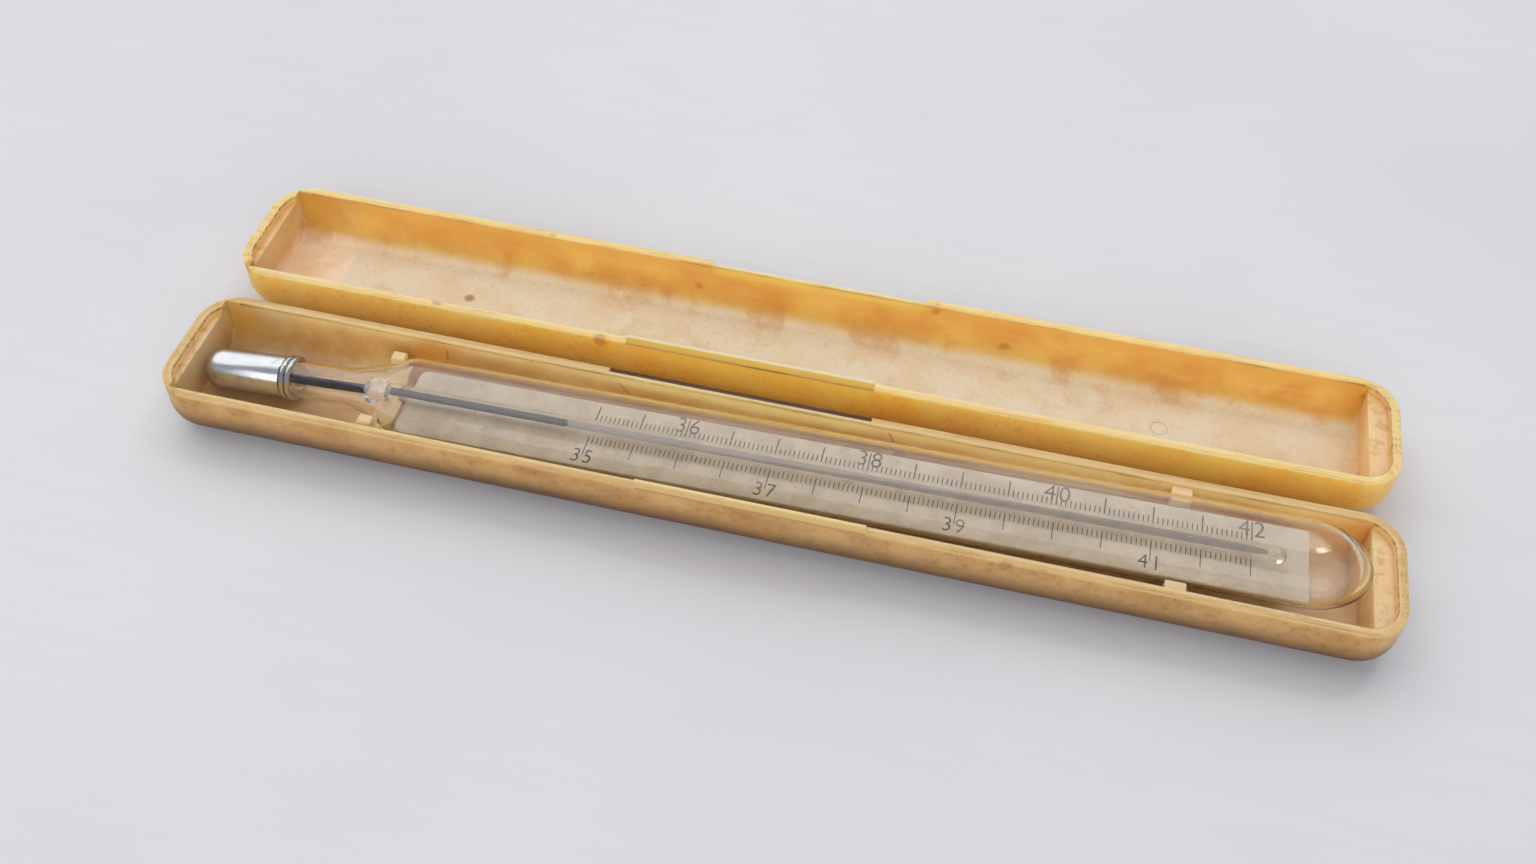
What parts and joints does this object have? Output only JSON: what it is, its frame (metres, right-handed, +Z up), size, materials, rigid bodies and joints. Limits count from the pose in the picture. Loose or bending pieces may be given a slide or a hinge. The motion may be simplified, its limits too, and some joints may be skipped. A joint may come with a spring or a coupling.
{
  "type": "clinical thermometer in a case",
  "caption": "Mercury clinical thermometer with an enclosed scale in an oval glass envelope, lying in a long two-part moulded case whose loose lid lies behind it.",
  "frame": {"origin": "on the table, under the middle of the open tray and lid", "axes": "+X along the case from the bulb to the round end, +Y from the tray to the loose lid, +Z up"},
  "size_m": [0.136, 0.0364, 0.0105],
  "materials": {
    "tray_plastic": "aged ivory plastic, satin",
    "lid_plastic": "aged ivory plastic, satin",
    "clear_glass": "clear blown glass",
    "bulb_glass": "clear thin glass",
    "capillary_glass": "clear drawn glass",
    "milk_glass": "opal glass with a worn printed scale",
    "mercury": "liquid metal mirror"
  },
  "bodies": {
    "tray": {"case_tray": "tray_plastic"},
    "lid": {"case_lid": "lid_plastic"},
    "thermometer": {"glass_envelope": "clear_glass", "glass_bulb": "bulb_glass", "bulb_collar": "bulb_glass", "neck_stem": "capillary_glass", "constriction_bead": "capillary_glass", "constriction_pin": "capillary_glass", "capillary_tube": "capillary_glass", "scale_plate": "milk_glass", "mercury_store": "mercury"},
    "thread": {"mercury_thread": "mercury"}
  },
  "joints": [
    {"name": "lid_turn", "type": "hinge", "parent": "tray", "child": "lid", "pos_m": [0, 0, 0.00702], "axis": [1, 0, 0], "range_deg": [0, 180]},
    {"name": "thermometer_lift", "type": "slide", "parent": "tray", "child": "thermometer", "axis": [0, 0, 1], "range_m": [0, 0.04]},
    {"name": "thread_rise", "type": "slide", "parent": "thermometer", "child": "thread", "axis": [0.9998, 0, 0.0202], "range_m": [0, 0.074]}
  ]
}
